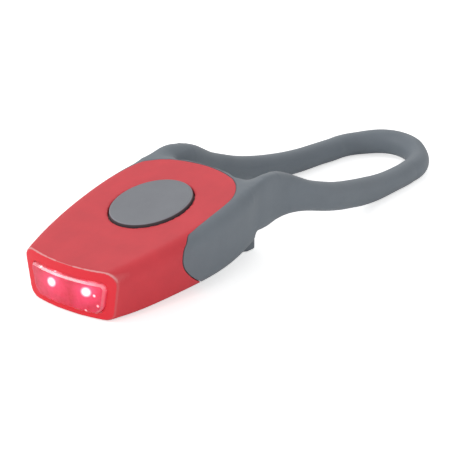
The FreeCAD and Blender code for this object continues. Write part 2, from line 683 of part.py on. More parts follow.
def make_switch_frame():
    """Metal cover of the switch, with the plunger's hole and two solder legs."""
    low = BOARD_TOP + SWITCH_BASE_HEIGHT
    high = low + SWITCH_FRAME_THICKNESS
    plate = box(BUTTON_X - SWITCH_HALF, BUTTON_X + SWITCH_HALF, -SWITCH_HALF, SWITCH_HALF,
                low, high)
    plate = plate.cut(drum(BUTTON_X, 0, PLUNGER_RADIUS + PLUNGER_CLEARANCE, low - PAST, FAR))
    for side in (1, -1):
        y0 = side * SWITCH_HALF
        y1 = side * (SWITCH_HALF + SWITCH_FRAME_THICKNESS)
        leg = box(BUTTON_X - SWITCH_LEG_HALF, BUTTON_X + SWITCH_LEG_HALF, min(y0, y1),
                  max(y0, y1), BOARD_TOP, high)
        plate = plate.fuse(leg)
    return plate


def make_switch_dome():
    """Snap dome at the bottom of the well."""
    low = BOARD_TOP + SWITCH_BASE_HEIGHT - SWITCH_WELL_DEPTH
    return drum(BUTTON_X, 0, DOME_RADIUS, low, low + DOME_THICKNESS)


def make_plunger():
    """Plunger of the switch, kept in by its flange."""
    seat = BOARD_TOP + SWITCH_BASE_HEIGHT
    stem = drum(BUTTON_X, 0, PLUNGER_RADIUS, seat - PLUNGER_FLANGE, BOARD_TOP + PLUNGER_HEIGHT)
    flange = drum(BUTTON_X, 0, PLUNGER_FLANGE_RADIUS, seat - PLUNGER_FLANGE, seat)
    return stem.fuse(flange)


def make_chip():
    """Flasher chip with four legs on each side, in the roof frame."""
    half_x, half_y = CHIP_LENGTH / 2, CHIP_WIDTH / 2
    top_half = half_y - CHIP_DRAFT
    corners = [(-half_y, CHIP_STANDOFF), (half_y, CHIP_STANDOFF),
               (top_half, CHIP_HEIGHT), (-top_half, CHIP_HEIGHT)]
    ring = [V(CHIP_X - half_x, y, BOARD_TOP + z) for y, z in corners]
    chip = Part.Face(Part.makePolygon(ring + ring[:1])).extrude(V(CHIP_LENGTH, 0, 0))
    for i in range(CHIP_LEGS):
        x = CHIP_X + (i - (CHIP_LEGS - 1) / 2) * CHIP_LEG_PITCH
        leg = box(x - CHIP_LEG_WIDTH / 2, x + CHIP_LEG_WIDTH / 2, -half_y - CHIP_LEG_REACH,
                  half_y + CHIP_LEG_REACH, BOARD_TOP, BOARD_TOP + CHIP_LEG_THICKNESS)
        chip = chip.fuse(leg)
    return chip


def chip_part(size, place):
    """Small block on the board, with rounded solder ends."""
    length, width, height = size
    x, y = place
    part = box(x - length / 2, x + length / 2, y - width / 2, y + width / 2,
               BOARD_TOP, BOARD_TOP + height)
    upright = [edge for edge in part.Edges if edge.BoundBox.ZLength > height / 2]
    return part.makeFillet(SMALL_PART_EDGE, upright)


def make_cell_can():
    """Positive can of the coin cell, with the recess for its cap."""
    can = drum(CELL_X, 0, CELL_RADIUS, CELL_LOW + CELL_CAP_PROUD, CELL_TOP)
    rings = [edge for edge in can.Edges if edge.BoundBox.ZLength < TINY]
    can = can.makeFillet(CELL_EDGE, rings)
    recess = CELL_CAP_RADIUS + CELL_GASKET + CELL_CLEARANCE
    return can.cut(drum(CELL_X, 0, recess, 0, CELL_LOW + CELL_CAP_HEIGHT + CELL_CLEARANCE))


def make_cell_cap():
    """Negative cap of the coin cell."""
    return drum(CELL_X, 0, CELL_CAP_RADIUS, CELL_LOW, CELL_LOW + CELL_CAP_HEIGHT)


def make_cell_gasket():
    """Ring that keeps can and cap apart."""
    low, high = CELL_LOW + CELL_GASKET_LOW, CELL_LOW + CELL_CAP_HEIGHT
    ring = drum(CELL_X, 0, CELL_CAP_RADIUS + CELL_GASKET, low, high)
    return ring.cut(drum(CELL_X, 0, CELL_CAP_RADIUS + CELL_CLEARANCE, 0, FAR))


def make_negative_contact():
    """Strip under the cell that turns up to the board in front of it."""
    low, high = ROOM_INSET, ROOM_INSET + CONTACT_THICKNESS
    front = CELL_X - CELL_RADIUS - CONTACT_PAST_CELL
    half = CONTACT_WIDTH / 2
    strip = box(front, CELL_X + CONTACT_TAIL, -half, half, low, high)
    leg = box(front, front + CONTACT_THICKNESS, -half, half, low, FRONT_HEIGHT + FAR)
    bump = Part.makeCone(*BUMP_RADII, CONTACT_BUMP, V(CELL_X, 0, high))
    return strip.fuse(leg.cut(BOARD_ABOVE)).fuse(bump)


def make_positive_clip():
    """Leaf spring from the board down onto the cell."""
    under = FRONT_HEIGHT + BOARD_LOW / math.cos(math.radians(ROOF_SLOPE))
    slope = math.tan(math.radians(ROOF_SLOPE))
    rear, bend = CELL_X + CLIP_REAR, CELL_X + CLIP_BEND
    touch, tip = CELL_X + CLIP_TOUCH, CELL_X + CLIP_TIP
    rear_z, bend_z = under + rear * slope, under + bend * slope
    lift = CELL_TOP + CLIP_TIP_LIFT
    t = CONTACT_THICKNESS
    points = [(rear, rear_z), (bend, bend_z), (bend - CLIP_BEND_LENGTH, bend_z - t),
              (touch, CELL_TOP + t), (tip, lift + t), (tip, lift), (touch, CELL_TOP),
              (touch + CLIP_TOUCH_LENGTH, CELL_TOP), (bend, bend_z - 2 * t), (rear, rear_z - t)]
    return prism_y(points, CONTACT_WIDTH / 2)


def make_all():
    """All pieces by node name, in the floor frame."""
    pieces = {
        "cover": make_cover(),
        "strap_saddle": make_saddle(),
        "lens": to_floor(make_lens()),
        "lens_seal": to_floor(make_lens_seal()),
        "reflector": to_floor(make_reflector()),
        "led_left": to_floor(make_led(1)),
        "led_right": to_floor(make_led(-1)),
        "led_leads": to_floor(make_leads()),
        "capsule_lower": to_floor(make_capsule_lower()),
        "capsule_upper": to_floor(make_capsule_upper()),
        "circuit_board": to_floor(to_base(make_board())),
        "board_screws": to_floor(to_base(make_screws())),
        "button": to_floor(to_base(make_button())),
        "switch_base": to_floor(to_base(make_switch_base())),
        "switch_frame": to_floor(to_base(make_switch_frame())),
        "switch_dome": to_floor(to_base(make_switch_dome())),
        "switch_plunger": to_floor(to_base(make_plunger())),
        "controller_chip": to_floor(to_base(make_chip())),
        "resistors": to_floor(to_base(Part.makeCompound(
            [chip_part(RESISTOR_SIZE, place) for place in RESISTOR_PLACES]))),
        "capacitor": to_floor(to_base(chip_part(CAPACITOR_SIZE, CAPACITOR_PLACE))),
        "coin_cell_can": to_floor(make_cell_can()),
        "coin_cell_cap": to_floor(make_cell_cap()),
        "coin_cell_gasket": to_floor(make_cell_gasket()),
        "battery_negative_contact": to_floor(make_negative_contact()),
        "battery_positive_clip": to_floor(make_positive_clip()),
    }
    reach = BEND_HALF_LENGTH
    first, second, third = BEND_PLACES
    pieces["strap_root_bend"] = arm_slice(first - reach, first + reach)
    pieces["strap_upper_arms"] = arm_slice(first + reach, second - reach)
    pieces["strap_middle_bend"] = arm_slice(second - reach, second + reach)
    pieces["strap_lower_arms"] = arm_slice(second + reach, third - reach)
    pieces["strap_end_bend"] = arm_slice(third - reach, third + reach)
    loop = strap_end()
    for side in arm_slice(third + reach, ARM_SECTIONS[-1][0]).Solids:
        loop = loop.fuse(side)
    pieces["strap_loop"] = loop
    return pieces


def main():
    """Build every piece, centre the light on its footprint and write one file each."""
    pieces = make_all()
    outermost = [pieces[name] for name in ("cover", "lens", "strap_loop")]
    ends = [shape.optimalBoundingBox(False, False) for shape in outermost]
    front, tip = min(end.XMin for end in ends), max(end.XMax for end in ends)
    shift = V(-(front + tip) / 2, 0, -min(end.ZMin for end in ends))
    print("moved by", [round(value, 3) for value in shift])
    os.makedirs("parts", exist_ok=True)
    for name, shape in pieces.items():
        shape.translate(shift)
        shape.exportStep("parts/" + name + ".step")
        print(name, len(shape.Solids), "solids", round(shape.Volume, 2), "mm3", shape.isValid())


main()
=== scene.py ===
"""Looks of the bike safety light: silicone skin, lens, button, strap and the parts inside.

Everything is in metres in the light's own frame: +X from the lens to the strap's tip,
+Y to the light's left side, +Z up, with the floor at z = 0. Sizes of the silicone pieces are in
millimetres, and their x is measured from the lens opening.
"""

import logging
import math
from dataclasses import dataclass, field
from enum import Enum
from typing import Callable, Iterable, Sequence

import bmesh
import bpy
from mathutils import Matrix, Vector


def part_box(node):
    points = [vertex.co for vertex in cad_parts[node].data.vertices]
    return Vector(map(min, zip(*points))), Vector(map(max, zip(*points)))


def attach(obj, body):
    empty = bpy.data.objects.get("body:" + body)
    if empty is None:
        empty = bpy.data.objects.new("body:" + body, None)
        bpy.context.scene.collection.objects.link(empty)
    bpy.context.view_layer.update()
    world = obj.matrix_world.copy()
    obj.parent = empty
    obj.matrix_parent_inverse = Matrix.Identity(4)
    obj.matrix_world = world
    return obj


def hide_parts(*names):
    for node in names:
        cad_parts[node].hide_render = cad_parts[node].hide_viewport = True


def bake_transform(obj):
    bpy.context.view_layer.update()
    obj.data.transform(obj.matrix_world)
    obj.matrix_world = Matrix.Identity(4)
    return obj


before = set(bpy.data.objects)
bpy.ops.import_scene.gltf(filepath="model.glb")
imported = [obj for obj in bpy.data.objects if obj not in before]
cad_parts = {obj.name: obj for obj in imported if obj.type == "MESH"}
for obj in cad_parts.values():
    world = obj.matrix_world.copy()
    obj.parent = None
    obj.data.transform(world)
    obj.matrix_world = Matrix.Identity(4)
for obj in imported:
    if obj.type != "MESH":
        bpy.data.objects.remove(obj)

MM = 0.001
LOG = logging.getLogger("bike_light")

Colour = tuple[float, float, float]
Point = tuple[float, float, float]
Span = tuple[float, float]
Marks = tuple[float, float, float, float]
Socket = bpy.types.NodeSocket


class Body(str, Enum):
    """Rigid bodies that the pieces ride on."""

    LIGHT = "light_body"
    BUTTON = "button"
    STRAP_UPPER = "strap_upper"
    STRAP_LOWER = "strap_lower"
    STRAP_TIP = "strap_tip"


class Trim(str, Enum):
    """How a solid is trimmed by another."""

    KEEP_INSIDE = "INTERSECT"
    CUT_AWAY = "DIFFERENCE"


@dataclass(frozen=True)
class LightFrame:
    """Where the light's own frames lie; lengths in millimetres, angles in degrees."""

    opening_x: float = -48.066
    lift: float = 0.073
    body_tilt: float = 5.1
    roof_slope: float = 4.3
    front_height: float = 9.9
    nose_bulge: float = 1.9

    def base(self) -> Matrix:
        """Matrix from the body's base frame to the world, in millimetres.

        Returns:
            The 4 x 4 matrix.
        """
        tilt = math.radians(self.body_tilt)
        lift = self.lift + self.nose_bulge * math.sin(tilt)
        return Matrix.Translation((self.opening_x, 0, lift)) @ Matrix.Rotation(-tilt, 4, "Y")

    def roof(self) -> Matrix:
        """Matrix from the roof's frame to the world, in millimetres."""
        rise = Matrix.Rotation(-math.radians(self.roof_slope), 4, "Y")
        return self.base() @ Matrix.Translation((0, 0, self.front_height)) @ rise

    def roof_height(self, x: float) -> float:
        """Height of the roof over the base at x, in millimetres."""
        return self.front_height + x * math.tan(math.radians(self.roof_slope))

    def to_world(self, x: float, y: float, z: float) -> Vector:
        """World place, in metres, of a point of the base frame in millimetres."""
        return (self.base() @ Vector((x, y, z))) * MM

    def floor_x(self, x: float) -> float:
        """World x, in metres, of a place measured from the lens opening in millimetres."""
        return (x + self.opening_x) * MM


PLACES = LightFrame()


def shade(colour: Colour, factor: float) -> Colour:
    """Colour made lighter or darker, by the factor that each channel is multiplied by."""
    return tuple(min(1.0, channel * factor) for channel in colour)


def ease(value: float, start: float, end: float) -> float:
    """Smooth step from 0 at start to 1 at end.

    Args:
        value: Where to read the step.
        start: Where it leaves 0.
        end: Where it reaches 1.

    Returns:
        The step's height.
    """
    share = min(1.0, max(0.0, (value - start) / (end - start)))
    return share * share * (3 - 2 * share)


def hump(value: float, marks: Marks) -> float:
    """Smooth hump that is 1 between the inner two of four marks and 0 outside the outer two."""
    return ease(value, marks[0], marks[1]) * (1 - ease(value, marks[2], marks[3]))


@dataclass(frozen=True)
class Grain:
    """How strongly a fine pattern bumps a surface and varies its roughness; depth in metres."""

    strength: float
    depth: float
    smoother: float
    rougher: float


class Graph:
    """Shader nodes of one material, built round one Principled shader."""

    tone_marks: Span = (0.30, 0.70)

    def __init__(self, name: str) -> None:
        """Start an empty material.

        Args:
            name: The material's name.
        """
        self.material = bpy.data.materials.new(name)
        self.material.use_nodes = True
        self.tree = self.material.node_tree
        self.tree.nodes.clear()
        output = self.add("ShaderNodeOutputMaterial")
        self.shader = self.add("ShaderNodeBsdfPrincipled")
        self.join(self.shader.outputs["BSDF"], output.inputs["Surface"])
        self.coordinates = self.add("ShaderNodeTexCoord").outputs["Object"]

    def fill(self, node: bpy.types.Node, **values: object) -> None:
        """Set sockets of a node by name, with underscores for spaces."""
        for name, value in values.items():
            node.inputs[name.replace("_", " ")].default_value = value

    def set(self, **values: object) -> None:
        """Set sockets of the shader."""
        self.fill(self.shader, **values)

    def add(self, kind: str, **values: object) -> bpy.types.Node:
        """Add a node.

        Args:
            kind: Blender's name of the node type.
            **values: Values of its sockets.

        Returns:
            The new node.
        """
        node = self.tree.nodes.new(kind)
        self.fill(node, **values)
        return node

    def pattern(self, kind: str, **values: object) -> bpy.types.Node:
        """Add a node that reads the object's coordinates.

        Args:
            kind: Blender's name of the node type.
            **values: Values of its sockets.

        Returns:
            The new node.
        """
        node = self.add(kind, **values)
        self.join(self.coordinates, node.inputs["Vector"])
        return node

    def join(self, start: Socket, end: Socket) -> None:
        """Link two sockets."""
        self.tree.links.new(start, end)

    def drive(self, name: str, value: Socket) -> None:
        """Let a value drive one of the shader's sockets."""
        self.join(value, self.shader.inputs[name])

    def base_colour(self) -> Socket:
        """Socket that drives the base colour so far."""
        return self.shader.inputs["Base Color"].links[0].from_socket

    def part(self, vector: Socket, axis: str) -> Socket:
        """One part of a vector.

        Args:
            vector: The vector's socket.
            axis: Letter of the part, X, Y or Z.

        Returns:
            The part's socket.
        """
        split = self.add("ShaderNodeSeparateXYZ")
        self.join(vector, split.inputs[0])
        return split.outputs[axis]

    def place(self, axis: str) -> Socket:
        """One of the object's coordinates, X, Y or Z."""
        return self.part(self.coordinates, axis)

    def normal(self, axis: str) -> Socket:
        """One part of the surface's own normal, X, Y or Z."""
        return self.part(self.coordinates.node.outputs["Normal"], axis)

    def facing_front(self) -> Socket:
        """Socket that is 1 on the light's front face and 0 on its roof."""
        return self.math("MULTIPLY", self.normal("X"), -1.0)

    def noise(self, scale: float, detail: float = 3.0, roughness: float = 0.5) -> Socket:
        """Noise with so many cells in a metre, finer octaves and a weight of these."""
        node = self.pattern("ShaderNodeTexNoise", Scale=scale, Detail=detail, Roughness=roughness)
        return node.outputs["Fac"]

    def cells(self, scale: float) -> bpy.types.Node:
        """Pattern with so many cells in a metre."""
        return self.pattern("ShaderNodeTexVoronoi", Scale=scale)

    def ramp(self, value: Socket, stops: Sequence[tuple[float, Colour]]) -> Socket:
        """Colour ramp over a value.

        Args:
            value: The socket that drives the ramp.
            stops: Place and colour of its two stops.

        Returns:
            The ramp's colour socket.
        """
        node = self.add("ShaderNodeValToRGB")
        for element, (place, colour) in zip(node.color_ramp.elements, stops):
            element.position = place
            element.color = (*colour, 1.0)
        self.join(value, node.inputs["Fac"])
        return node.outputs["Color"]

    def two_tone(self, value: Socket, dark: Colour, light: Colour) -> None:
        """Let a pattern drift the base colour between two tones.

        Args:
            value: The pattern's socket.
            dark: Colour of its low parts.
            light: Colour of its high parts.
        """
        start, end = self.tone_marks
        self.drive("Base Color", self.ramp(value, ((start, dark), (end, light))))

    def remap(self, value: Socket, low: float, high: float,
              start: float = 0.0, end: float = 1.0) -> Socket:
        """Map a value's range start to end onto low to high.

        Args:
            value: The socket to map.
            low: Result at start.
            high: Result at end.
            start: Value that gives low.
            end: Value that gives high.

        Returns:
            The mapped value's socket.
        """
        node = self.add("ShaderNodeMapRange", From_Min=start, From_Max=end, To_Min=low, To_Max=high)
        self.join(value, node.inputs["Value"])
        return node.outputs["Result"]

    def math(self, operation: str, first: Socket, second: Socket | float = 0.0) -> Socket:
        """One sum on two values.

        Args:
            operation: The Math node's operation.
            first: First value.
            second: Second value, a socket or a number.

        Returns:
            The result's socket.
        """
        node = self.add("ShaderNodeMath")
        node.operation = operation
        self.join(first, node.inputs[0])
        if isinstance(second, (int, float)):
            node.inputs[1].default_value = second
        else:
            self.join(second, node.inputs[1])
        return node.outputs[0]

    def band(self, value: Socket, marks: Marks) -> Socket:
        """Band that is 1 between the inner two of four marks and 0 outside the outer two.

        Args:
            value: The socket that it reads.
            marks: The four marks, rising.

        Returns:
            The band's socket.
        """
        rise = self.remap(value, 0.0, 1.0, marks[0], marks[1])
        fall = self.remap(value, 1.0, 0.0, marks[2], marks[3])
        return self.math("MULTIPLY", rise, fall)

    def blend(self, share: Socket, first: Socket, second: Colour) -> Socket:
        """Mix of two colours.

        Args:
            share: Share of the second, 0 to 1.
            first: First colour's socket.
            second: Second colour.

        Returns:
            The mixed colour's socket.
        """
        node = self.add("ShaderNodeMix")
        node.data_type = "RGBA"
        sockets = {socket.identifier: socket for socket in node.inputs}
        self.join(share, sockets["Factor_Float"])
        self.join(first, sockets["A_Color"])
        sockets["B_Color"].default_value = (*second, 1.0)
        return next(socket for socket in node.outputs if socket.identifier == "Result_Color")

    def bump(self, height: Socket, strength: float, depth: float) -> None:
        """Let a height field roughen the surface.

        Args:
            height: The height's socket.
            strength: Share of the bump, 0 to 1.
            depth: Its depth in metres.
        """
        node = self.add("ShaderNodeBump", Strength=strength, Distance=depth)
        self.join(height, node.inputs["Height"])
        self.drive("Normal", node.outputs["Normal"])

    def roughen(self, pattern: Socket, roughness: float, grain: Grain) -> None:
        """Let a fine pattern vary the roughness and bump the surface.

        Args:
            pattern: The pattern's socket.
            roughness: Roughness of the finish.
            grain: How strongly the pattern works.
        """
        low, high = roughness - grain.smoother, roughness + grain.rougher
        self.drive("Roughness", self.remap(pattern, low, high))
        self.bump(pattern, grain.strength, grain.depth)


@dataclass(frozen=True)
class Finish:
    """Finish of a piece, made as one procedural material."""

    name: str

    def mix(self, graph: Graph) -> None:
        """Set up the material's nodes, which each finish does in its own way."""
        raise NotImplementedError

    def make(self) -> bpy.types.Material:
        """Build the material.

        Returns:
            The finished material.
        """
        graph = Graph(self.name)
        self.mix(graph)
        return graph.material


@dataclass(frozen=True)
class Silicone(Finish):
    """Satin moulded silicone with a faint flow mottle and a fine matt grain."""

    colour: Colour
    roughness: float = 0.52
    mottle: float = 0.05
    mottle_scale: float = 160.0
    grain_scale: float = 5200.0
    grain: Grain = Grain(0.35, 0.02 * MM, 0.06, 0.08)
    sheen: float = 0.12

    def mix(self, graph: Graph) -> None:
        """Set up the material's nodes.

        Args:
            graph: The material's graph.
        """
        cloudy = graph.noise(self.mottle_scale, detail=4.0, roughness=0.6)
        graph.two_tone(cloudy, shade(self.colour, 1 - self.mottle), shade(self.colour, 1 + self.mottle))
        graph.roughen(graph.noise(self.grain_scale, detail=2.0), self.roughness, self.grain)
        graph.set(Sheen_Weight=self.sheen, Sheen_Roughness=0.5, Specular_IOR_Level=0.35)


@dataclass(frozen=True)
class LitSilicone(Silicone):
    """Silicone whose front face has a painted glow, as if lit through by the lens, with a pale painted
    highlight along its edge.
    """

    # lit: colour of the painted glow on the front face, used for its base colour and its emission.
    lit: Colour = (0.90, 0.035, 0.055)
    # line: colour of the painted highlight, a pale line along the front face's upper edge.
    line: Colour = (1.0, 0.50, 0.50)
    front_end: float = -44.0 * MM
    front_fade: float = 1.0 * MM
    painted_glow_marks: Span = (0.80, 0.92)
    highlight_line_marks: Marks = (0.30, 0.50, 0.78, 0.92)
    highlight_line_least: float = 0.15
    highlight_line_up_marks: Span = (0.1, 0.45)
    highlight_line_share: float = 0.75
    glow_strength: float = 0.09

    def mix(self, graph: Graph) -> None:
        """Set up the material's nodes.

        Args:
            graph: The material's graph.
        """
        super().mix(graph)
        # Painted glow on the front face, near the front only: a saturated lit colour and a faint emission.
        facing = graph.facing_front()
        ahead = graph.remap(graph.place("X"), 1.0, 0.0, self.front_end - self.front_fade, self.front_end)
        face = graph.math("MULTIPLY", graph.remap(facing, 0.0, 1.0, *self.painted_glow_marks), ahead)
        # Painted highlight: a pale line on the rounded edge between the front face and the roof, strongest
        # where it faces up.
        upward = graph.remap(graph.normal("Z"), self.highlight_line_least, 1.0, *self.highlight_line_up_marks)
        edge = graph.math("MULTIPLY", graph.band(facing, self.highlight_line_marks),
                          graph.math("MULTIPLY", upward, ahead))
        lit = graph.blend(face, graph.base_colour(), self.lit)
        with_painted_highlight = graph.blend(graph.math("MULTIPLY", edge, self.highlight_line_share), lit, self.line)
        graph.drive("Base Color", with_painted_highlight)
        graph.drive("Emission Strength", graph.math("MULTIPLY", face, self.glow_strength))
        graph.set(Emission_Color=(*self.lit, 1.0))


@dataclass(frozen=True)
class ShadedWallSilicone(Silicone):
    """Silicone of the button: dark on its wall, where the slot keeps the light out, with a painted
    highlight on its rim.
    """

    wall: float = 0.30
    wall_marks: Span = (0.30, 0.55)
    # edge: how much lighter the rim's painted highlight is.
    edge: float = 1.35
    rim_highlight_marks: Marks = (0.50, 0.70, 0.90, 0.97)

    def mix(self, graph: Graph) -> None:
        """Set up the material's nodes.

        Args:
            graph: The material's graph.
        """
        super().mix(graph)
        upward = graph.normal("Z")
        # Painted highlight on the rim, then painted shade on the steep wall.
        rim = graph.band(upward, self.rim_highlight_marks)
        rim_highlighted = graph.blend(rim, graph.base_colour(), shade(self.colour, self.edge))
        steep = graph.remap(upward, 1.0, 0.0, *self.wall_marks)
        graph.drive("Base Color", graph.blend(steep, rim_highlighted, shade(self.colour, self.wall)))


@dataclass(frozen=True)
class MouldedPlastic(Finish):
    """Moulded hard plastic with a spark-eroded texture."""

    colour: Colour
    roughness: float = 0.45
    tones: Span = (0.94, 1.05)
    tone_scale: float = 220.0
    grain_scale: float = 3800.0
    grain: Grain = Grain(0.3, 0.02 * MM, 0.05, 0.07)

    def mix(self, graph: Graph) -> None:
        """Set up the material's nodes.

        Args:
            graph: The material's graph.
        """
        dark, light = (shade(self.colour, tone) for tone in self.tones)
        graph.two_tone(graph.noise(self.tone_scale), dark, light)
        graph.roughen(graph.noise(self.grain_scale, detail=2.0), self.roughness, self.grain)


@dataclass(frozen=True)
class PlatedMetal(Finish):
    """Plated or bare metal with faint drawing lines and handling marks."""

    colour: Colour
    roughness: float = 0.3
    stretch: Point = (1.0, 14.0, 1.0)
    line_scale: float = 900.0
    line_tone: float = 0.88
    grain: Grain = Grain(0.2, 0.01 * MM, 0.08, 0.1)

    def mix(self, graph: Graph) -> None:
        """Set up the material's nodes.

        Args:
            graph: The material's graph.
        """
        mapping = graph.pattern("ShaderNodeMapping", Scale=self.stretch)
        lines = graph.add("ShaderNodeTexNoise", Scale=self.line_scale)
        graph.join(mapping.outputs["Vector"], lines.inputs["Vector"])
        graph.two_tone(lines.outputs["Fac"], shade(self.colour, self.line_tone), self.colour)
        graph.roughen(lines.outputs["Fac"], self.roughness, self.grain)
        graph.set(Metallic=1.0)


@dataclass(frozen=True)
class SolderMask(Finish):
    """Green circuit board with copper runs that show through the mask."""

    colour: Colour
    tones: tuple[float, float, float] = (1.0, 0.85, 1.9)
    run_stagger: float = 0.37
    run_squash: float = 1.6
    run_width: float = 0.012
    run_scale: float = 420.0
    run_depth: float = 0.02 * MM
    gloss_scale: float = 1500.0
    roughness: Span = (0.28, 0.4)

    def mix(self, graph: Graph) -> None:
        """Set up the material's nodes.

        Args:
            graph: The material's graph.
        """
        plain, darker, bright = ((*shade(self.colour, tone), 1.0) for tone in self.tones)
        runs = graph.pattern("ShaderNodeTexBrick", Scale=self.run_scale, Mortar_Size=self.run_width,
                             Color1=plain, Color2=darker, Mortar=bright)
        runs.offset, runs.squash = self.run_stagger, self.run_squash
        graph.drive("Base Color", runs.outputs["Color"])
        graph.drive("Roughness", graph.remap(graph.noise(self.gloss_scale), *self.roughness))
        graph.bump(runs.outputs["Fac"], 0.4, self.run_depth)


@dataclass(frozen=True)
class LensPlastic(Finish):
    """Clear red plastic with a painted glow round each LED, painted reflections inside and a painted
    highlight on its upward bevels.
    """

    spots: tuple[Point, ...]
    colour: Colour = (0.88, 0.045, 0.13)
    deep: Colour = (0.72, 0.018, 0.055)
    glow: Colour = (1.0, 0.10, 0.28)
    spot: Colour = (1.0, 0.90, 0.94)
    # rim: colour of the painted highlight on the lens's upward bevels.
    rim: Colour = (1.0, 0.45, 0.50)
    cloud_scale: float = 420.0
    cloud_marks: Span = (0.32, 0.66)
    spot_radius: float = 0.9 * MM
    spot_marks: Span = (0.75, 1.3)
    halo_radius: float = 4.2 * MM
    halo_falloff: float = 1.6
    slant: tuple[float, float] = (0.88, 0.16)
    # Painted reflections: cell size, share of cells that shine, and dot size.
    reflection_scale: float = 640.0
    reflection_least: float = 0.80
    reflection_marks: Span = (0.10, 0.26)
    facet_scale: float = 900.0
    facet_depth: float = 0.08 * MM
    highlight_bevel_marks: Span = (0.86, 0.95)
    highlight_bevel_tones: Span = (0.35, 0.95)
    highlight_bevel_up_marks: Span = (-0.2, 0.5)
    # Emission levels of the painted glow: the whole lens, the halo round each LED and the bright cores.
    body_light: float = 0.16
    halo_light: float = 0.28
    spot_light: float = 0.8

    def glow_share(self, graph: Graph) -> tuple[Socket, Socket]:
        """Halo and core round each LED, from the distance to its place on the window.

        Args:
            graph: The material's nodes.

        Returns:
            Sockets of the halo's share and of the core's share.
        """
        nearest = None
        for spot in self.spots:
            beside = graph.math("SUBTRACT", graph.place("Y"), spot[1])
            across = graph.math("MULTIPLY", beside, self.slant[0])
            above = graph.math("ADD", graph.math("SUBTRACT", graph.place("Z"), spot[2]),
                               graph.math("MULTIPLY", beside, self.slant[1]))
            squared = graph.math("ADD", graph.math("MULTIPLY", across, across),
                                 graph.math("MULTIPLY", above, above))
            distance = graph.math("SQRT", squared)
            nearest = distance if nearest is None else graph.math("MINIMUM", nearest, distance)
        halo = graph.remap(nearest, 1.0, 0.0, self.spot_radius, self.halo_radius)
        core = graph.remap(nearest, 1.0, 0.0, *(self.spot_radius * mark for mark in self.spot_marks))
        return graph.math("POWER", halo, self.halo_falloff), core

    def painted_reflections(self, graph: Graph) -> Socket:
        """A few small painted reflections, bright spots inside the plastic.

        Args:
            graph: The material's nodes.

        Returns:
            Socket of the painted reflections' share.
        """
        cells = graph.cells(self.reflection_scale)
        chosen = graph.math("GREATER_THAN", graph.part(cells.outputs["Color"], "X"), self.reflection_least)
        dot = graph.remap(cells.outputs["Distance"], 1.0, 0.0, *self.reflection_marks)
        return graph.math("MULTIPLY", chosen, dot)

    def mix(self, graph: Graph) -> None:
        """Set up the material's nodes.

        Args:
            graph: The material's graph.
        """
        cloudy = graph.noise(self.cloud_scale, roughness=0.7)
        body = graph.ramp(cloudy, tuple(zip(self.cloud_marks, (self.deep, self.colour))))
        # Painted highlight: the pale rim colour on bevels that face forward and up.
        highlight_slope = graph.remap(graph.facing_front(), 1.0, 0.0, *self.highlight_bevel_marks)
        upward = graph.remap(graph.normal("Z"), *self.highlight_bevel_tones, *self.highlight_bevel_up_marks)
        graph.drive("Base Color", graph.blend(graph.math("MULTIPLY", highlight_slope, upward), body, self.rim))
        graph.bump(graph.cells(self.facet_scale).outputs["Distance"], 0.12, self.facet_depth)
        # Painted glow: a halo and a bright core round each LED and the painted reflections, given as
        # emission over a faint glow of the whole lens.
        halo, core = self.glow_share(graph)
        bright = graph.math("MAXIMUM", core, self.painted_reflections(graph))
        tint = graph.blend(halo, body, self.glow)
        graph.drive("Emission Color", graph.blend(bright, tint, self.spot))
        base = graph.math("ADD", graph.math("MULTIPLY", halo, self.halo_light), self.body_light)
        light = graph.math("ADD", base, graph.math("MULTIPLY", bright, self.spot_light))
        graph.drive("Emission Strength", light)
        graph.set(Roughness=0.10, Transmission_Weight=0.2, IOR=1.49, Coat_Weight=0.7, Coat_Roughness=0.04)


@dataclass(frozen=True)
class LedEpoxy(Finish):
    """Clear LED body that shines at its tip."""

    tip_x: float
    base_x: float
    colour: Colour = (0.9, 0.35, 0.4)
    base_tone: float = 0.6
    glow: Colour = (1.0, 0.62, 0.66)
    falloff: float = 3.0

    def mix(self, graph: Graph) -> None:
        """Set up the material's nodes.

        Args:
            graph: The material's graph.
        """
        along = graph.remap(graph.place("X"), 1.0, 0.0, self.tip_x, self.base_x)
        stops = ((0.0, shade(self.colour, self.base_tone)), (1.0, self.colour))
        graph.drive("Base Color", graph.ramp(along, stops))
        graph.drive("Emission Strength", graph.math("POWER", along, self.falloff))
        graph.set(Emission_Color=(*self.glow, 1.0), Roughness=0.08, Transmission_Weight=0.3)


@dataclass(frozen=True)
class PalePaper(Finish):
    """White ground that keeps a soft shadow and reads as white paper to the camera."""

    name: str = "ground"
    dark: Colour = (0.96, 0.96, 0.96)
    light: Colour = (0.98, 0.98, 0.98)
    tone_scale: float = 30.0
    glow_to_camera: float = 0.62

    def mix(self, graph: Graph) -> None:
        """Set up the material's nodes.

        Args:
            graph: The material's graph.
        """
        graph.two_tone(graph.noise(self.tone_scale), self.dark, self.light)
        path = graph.add("ShaderNodeLightPath")
        seen = graph.math("MULTIPLY", path.outputs["Is Camera Ray"], self.glow_to_camera)
        graph.drive("Emission Strength", seen)
        graph.set(Emission_Color=(1, 1, 1, 1), Roughness=0.9, Specular_IOR_Level=0.0)


